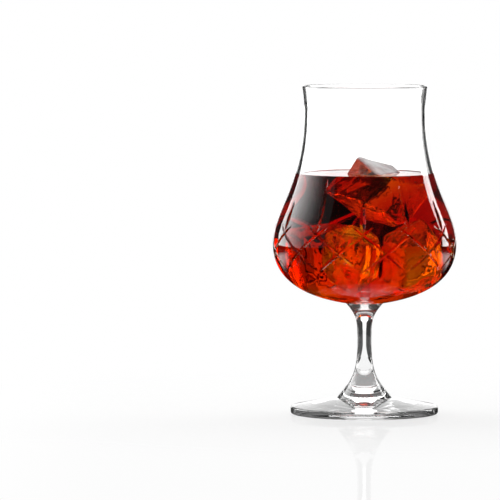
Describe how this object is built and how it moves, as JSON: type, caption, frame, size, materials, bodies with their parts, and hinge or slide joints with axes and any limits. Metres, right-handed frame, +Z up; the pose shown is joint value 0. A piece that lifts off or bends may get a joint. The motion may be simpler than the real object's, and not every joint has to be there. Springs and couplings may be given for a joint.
{
  "type": "tulip snifter",
  "caption": "Stemmed tulip snifter of hand-cut crystal with a round belly, a tall narrow chimney and a disc foot, holding an amber drink and ice.",
  "frame": {"origin": "centre of the ring that the foot stands on, in the plane of the table", "axes": "+Z up along the axis of the glass, from the foot to the lip; -Y is the side that faces the viewer"},
  "size_m": [0.0838, 0.0838, 0.15],
  "materials": {
    "crystal": "clear polished crystal, with polished mitre cuts",
    "amber_drink": "clear dark amber liquid",
    "ice": "clear ice with melted edges"
  },
  "bodies": {
    "root": {"bowl": "crystal", "stem": "crystal", "foot": "crystal", "drink": "amber_drink", "ice_cube_top": "ice", "ice_cube_right": "ice", "ice_cube_left": "ice", "ice_cube_back": "ice", "ice_cube_front": "ice"}
  },
  "joints": []
}
